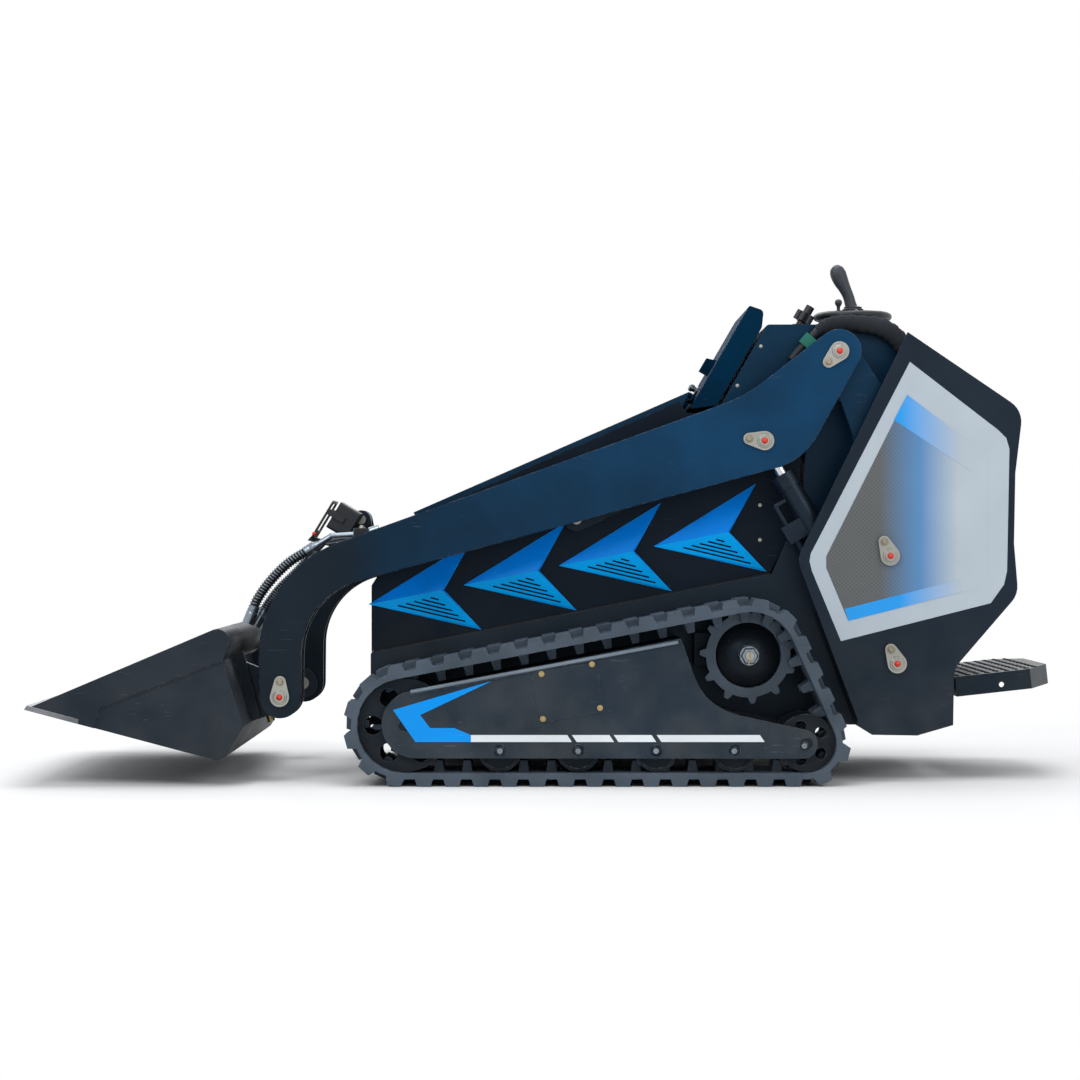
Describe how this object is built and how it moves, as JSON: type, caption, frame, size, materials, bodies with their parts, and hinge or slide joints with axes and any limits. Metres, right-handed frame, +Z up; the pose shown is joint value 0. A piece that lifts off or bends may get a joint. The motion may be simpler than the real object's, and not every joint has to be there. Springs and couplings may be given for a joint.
{
  "type": "stand-on mini track loader",
  "caption": "Compact stand-on loader on rubber tracks, with hinged lift arms and rear links, hydraulic cylinders, a tilting bucket, an opening hood and a fold-up operator platform.",
  "frame": {"origin": "on the ground under the middle of the overall length and width", "axes": "+X forward to the bucket, +Y to the machine's left, +Z up"},
  "size_m": [2.664, 1.08, 1.379],
  "materials": {
    "black_paint": "satin black paint",
    "navy_paint": "satin very dark navy paint",
    "charcoal_paint": "satin charcoal paint",
    "grille_blue": "bright blue paint",
    "track_rubber": "worn grey rubber",
    "dark_steel": "dark cast steel",
    "zinc": "bright zinc",
    "chrome_rod": "hard chrome",
    "black_plastic": "moulded black plastic",
    "hose_rubber": "black hose",
    "clamp_green": "green plastic",
    "pad_vinyl": "black vinyl",
    "worn_steel": "worn cutting steel",
    "brass_zinc": "yellow zinc"
  },
  "bodies": {
    "chassis": {"chassis_frame": "black_paint", "side_plate_left": "black_paint", "side_plate_right": "black_paint", "side_panel_left": "navy_paint", "side_panel_right": "navy_paint", "grilles_left": "grille_blue", "grilles_right": "grille_blue", "front_panel": "black_paint", "engine_block": "dark_steel", "guard": "black_paint", "console": "black_paint", "hip_pad": "pad_vinyl", "control_disc": "black_plastic", "joystick": "black_plastic", "filler_cap": "black_plastic", "hose_sleeve": "hose_rubber", "hose_clamp": "clamp_green", "frame_pins": "zinc", "track_left": "track_rubber", "track_right": "track_rubber", "track_frame_left": "charcoal_paint", "track_frame_right": "charcoal_paint", "track_rollers": "dark_steel", "front_idlers": "dark_steel", "rear_idlers": "dark_steel", "sprockets": "dark_steel", "drive_hubs": "dark_steel"},
    "rear_links": {"rear_links": "black_paint"},
    "lift_arm": {"arm_left": "navy_paint", "arm_right": "navy_paint", "cross_tube": "navy_paint", "arm_pins": "zinc", "work_lamp": "black_plastic", "arm_lines": "zinc", "guarded_hoses": "hose_rubber"},
    "control_links": {"control_links": "black_paint"},
    "lift_barrels": {"lift_barrels": "black_paint"},
    "lift_rods": {"lift_rods": "chrome_rod"},
    "bucket": {"attach_plate": "black_paint", "bucket": "charcoal_paint", "cutting_edge": "worn_steel", "lock_pins": "brass_zinc"},
    "tilt_barrel": {"tilt_barrel": "black_paint"},
    "tilt_rod": {"tilt_rod": "chrome_rod"},
    "hood": {"hood": "navy_paint"},
    "platform": {"platform": "black_paint"}
  },
  "joints": [
    {"name": "link_swing", "type": "hinge", "parent": "chassis", "child": "rear_links", "pos_m": [-0.875, 0, 0.584], "axis": [0, -1, 0], "range_deg": [0, 7.06]},
    {"name": "arm_lift", "type": "hinge", "parent": "rear_links", "child": "lift_arm", "pos_m": [-0.747, 0, 1.114], "axis": [0, -1, 0], "range_deg": [0, 54.94]},
    {"name": "control_swing", "type": "hinge", "parent": "chassis", "child": "control_links", "pos_m": [-0.068, 0, 0.68], "axis": [0, 1, 0], "range_deg": [0, 6.07]},
    {"name": "lift_barrel_swing", "type": "hinge", "parent": "chassis", "child": "lift_barrels", "pos_m": [-0.893, 0, 0.306], "axis": [0, -1, 0], "range_deg": [0, 6.05]},
    {"name": "lift_rod_slide", "type": "slide", "parent": "lift_barrels", "child": "lift_rods", "axis": [0.5083, 0, 0.8612], "range_m": [0, 0.2934]},
    {"name": "bucket_tilt", "type": "hinge", "parent": "lift_arm", "child": "bucket", "pos_m": [0.702, 0, 0.218], "axis": [0, 1, 0], "range_deg": [0, 102]},
    {"name": "tilt_barrel_swing", "type": "hinge", "parent": "lift_arm", "child": "tilt_barrel", "pos_m": [0.515, 0, 0.68], "axis": [0, 1, 0], "range_deg": [0, 1.9]},
    {"name": "tilt_rod_slide", "type": "slide", "parent": "tilt_barrel", "child": "tilt_rod", "axis": [0.5547, 0, -0.8321], "range_m": [0, 0.1956]},
    {"name": "hood_lift", "type": "hinge", "parent": "chassis", "child": "hood", "pos_m": [-0.37, 0, 1.007], "axis": [0, -1, 0], "range_deg": [0, 55]},
    {"name": "platform_fold", "type": "hinge", "parent": "chassis", "child": "platform", "pos_m": [-1.036, 0, 0.24], "axis": [0, 1, 0], "range_deg": [0, 80]}
  ],
  "couplings": [
    {"joint": "link_swing", "follows": "arm_lift", "ratio": 0.12841},
    {"joint": "control_swing", "follows": "arm_lift", "ratio": 0.11045},
    {"joint": "lift_barrel_swing", "follows": "arm_lift", "ratio": 0.11005},
    {"joint": "lift_rod_slide", "follows": "arm_lift", "m_per_rad": 0.30588},
    {"joint": "tilt_barrel_swing", "follows": "bucket_tilt", "ratio": 0.018567},
    {"joint": "tilt_rod_slide", "follows": "bucket_tilt", "m_per_rad": 0.10982}
  ]
}
